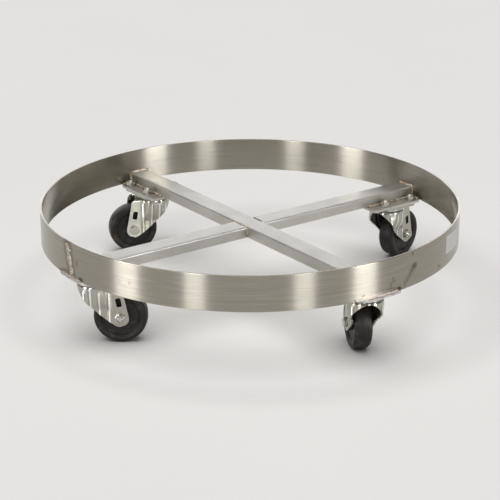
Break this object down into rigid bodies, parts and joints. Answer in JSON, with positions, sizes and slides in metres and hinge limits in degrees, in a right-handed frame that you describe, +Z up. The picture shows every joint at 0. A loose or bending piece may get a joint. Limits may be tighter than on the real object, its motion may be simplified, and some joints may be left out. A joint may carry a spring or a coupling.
{
  "type": "drum dolly",
  "caption": "Low round drum dolly: a flat-bar steel ring with a channel cross inside it, rolling on swivel casters with black wheels.",
  "frame": {"origin": "on the floor under the centre of the ring", "axes": "+Z up, along the ring's axis; -Y towards the front, with the butt weld of the band at the front left; +X to the right seen from the front"},
  "size_m": [0.61, 0.61, 0.154],
  "materials": {
    "stainless_band": "brushed stainless flat bar, ground welds",
    "stainless_channel": "mill-finish stainless channel and plate",
    "zinc_plate": "bright zinc-plated pressed steel",
    "zinc_fastener": "zinc-plated bolts and nuts",
    "plain_steel": "plain machined steel",
    "black_wheel": "matt black moulded wheel",
    "blank_label": "blank white film label"
  },
  "bodies": {
    "frame": {"rim_band": "stainless_band", "cross_member_long": "stainless_channel", "cross_member_left": "stainless_channel", "cross_member_right": "stainless_channel", "front_left_pad_plate": "stainless_channel", "front_left_top_plate": "zinc_plate", "front_left_race_ring": "zinc_plate", "front_left_kingpin": "plain_steel", "front_left_plate_bolt_1": "zinc_fastener", "front_left_plate_bolt_2": "zinc_fastener", "front_left_plate_bolt_3": "zinc_fastener", "front_left_plate_bolt_4": "zinc_fastener", "front_right_pad_plate": "stainless_channel", "front_right_top_plate": "zinc_plate", "front_right_race_ring": "zinc_plate", "front_right_kingpin": "plain_steel", "front_right_plate_bolt_1": "zinc_fastener", "front_right_plate_bolt_2": "zinc_fastener", "front_right_plate_bolt_3": "zinc_fastener", "front_right_plate_bolt_4": "zinc_fastener", "rear_right_pad_plate": "stainless_channel", "rear_right_top_plate": "zinc_plate", "rear_right_race_ring": "zinc_plate", "rear_right_kingpin": "plain_steel", "rear_right_plate_bolt_1": "zinc_fastener", "rear_right_plate_bolt_2": "zinc_fastener", "rear_right_plate_bolt_3": "zinc_fastener", "rear_right_plate_bolt_4": "zinc_fastener", "rear_left_pad_plate": "stainless_channel", "rear_left_top_plate": "zinc_plate", "rear_left_race_ring": "zinc_plate", "rear_left_kingpin": "plain_steel", "rear_left_plate_bolt_1": "zinc_fastener", "rear_left_plate_bolt_2": "zinc_fastener", "rear_left_plate_bolt_3": "zinc_fastener", "rear_left_plate_bolt_4": "zinc_fastener"},
    "front_left_swivel_body": {"front_left_fork": "zinc_plate", "front_left_ball_ring": "plain_steel", "front_left_axle_bolt": "zinc_fastener", "front_left_axle_nut": "zinc_fastener", "front_left_axle_sleeve": "plain_steel"},
    "front_left_wheel_body": {"front_left_wheel": "black_wheel"},
    "front_right_swivel_body": {"front_right_fork": "zinc_plate", "front_right_ball_ring": "plain_steel", "front_right_axle_bolt": "zinc_fastener", "front_right_axle_nut": "zinc_fastener", "front_right_axle_sleeve": "plain_steel"},
    "front_right_wheel_body": {"front_right_wheel": "black_wheel"},
    "rear_right_swivel_body": {"rear_right_fork": "zinc_plate", "rear_right_ball_ring": "plain_steel", "rear_right_axle_bolt": "zinc_fastener", "rear_right_axle_nut": "zinc_fastener", "rear_right_axle_sleeve": "plain_steel"},
    "rear_right_wheel_body": {"rear_right_wheel": "black_wheel"},
    "rear_left_swivel_body": {"rear_left_fork": "zinc_plate", "rear_left_ball_ring": "plain_steel", "rear_left_axle_bolt": "zinc_fastener", "rear_left_axle_nut": "zinc_fastener", "rear_left_axle_sleeve": "plain_steel"},
    "rear_left_wheel_body": {"rear_left_wheel": "black_wheel"}
  },
  "joints": [
    {"name": "front_left_swivel", "type": "hinge", "parent": "frame", "child": "front_left_swivel_body", "pos_m": [-0.21358, -0.15518, 0.0885], "axis": [0, 0, 1], "continuous": true},
    {"name": "front_left_wheel_spin", "type": "hinge", "parent": "front_left_swivel_body", "child": "front_left_wheel_body", "pos_m": [-0.18009, -0.15576, 0.0381], "axis": [0.0175, 0.9998, 0], "continuous": true},
    {"name": "front_right_swivel", "type": "hinge", "parent": "frame", "child": "front_right_swivel_body", "pos_m": [0.15518, -0.21358, 0.0885], "axis": [0, 0, 1], "continuous": true},
    {"name": "front_right_wheel_spin", "type": "hinge", "parent": "front_right_swivel_body", "child": "front_right_wheel_body", "pos_m": [0.14936, -0.18059, 0.0381], "axis": [-0.9848, -0.1736, 0], "continuous": true},
    {"name": "rear_right_swivel", "type": "hinge", "parent": "frame", "child": "rear_right_swivel_body", "pos_m": [0.21358, 0.15518, 0.0885], "axis": [0, 0, 1], "continuous": true},
    {"name": "rear_right_wheel_spin", "type": "hinge", "parent": "rear_right_swivel_body", "child": "rear_right_wheel_body", "pos_m": [0.23466, 0.18121, 0.0381], "axis": [-0.7771, 0.6293, 0], "continuous": true},
    {"name": "rear_left_swivel", "type": "hinge", "parent": "frame", "child": "rear_left_swivel_body", "pos_m": [-0.15518, 0.21358, 0.0885], "axis": [0, 0, 1], "continuous": true},
    {"name": "rear_left_wheel_spin", "type": "hinge", "parent": "rear_left_swivel_body", "child": "rear_left_wheel_body", "pos_m": [-0.18753, 0.20491, 0.0381], "axis": [0.2588, -0.9659, 0], "continuous": true}
  ]
}
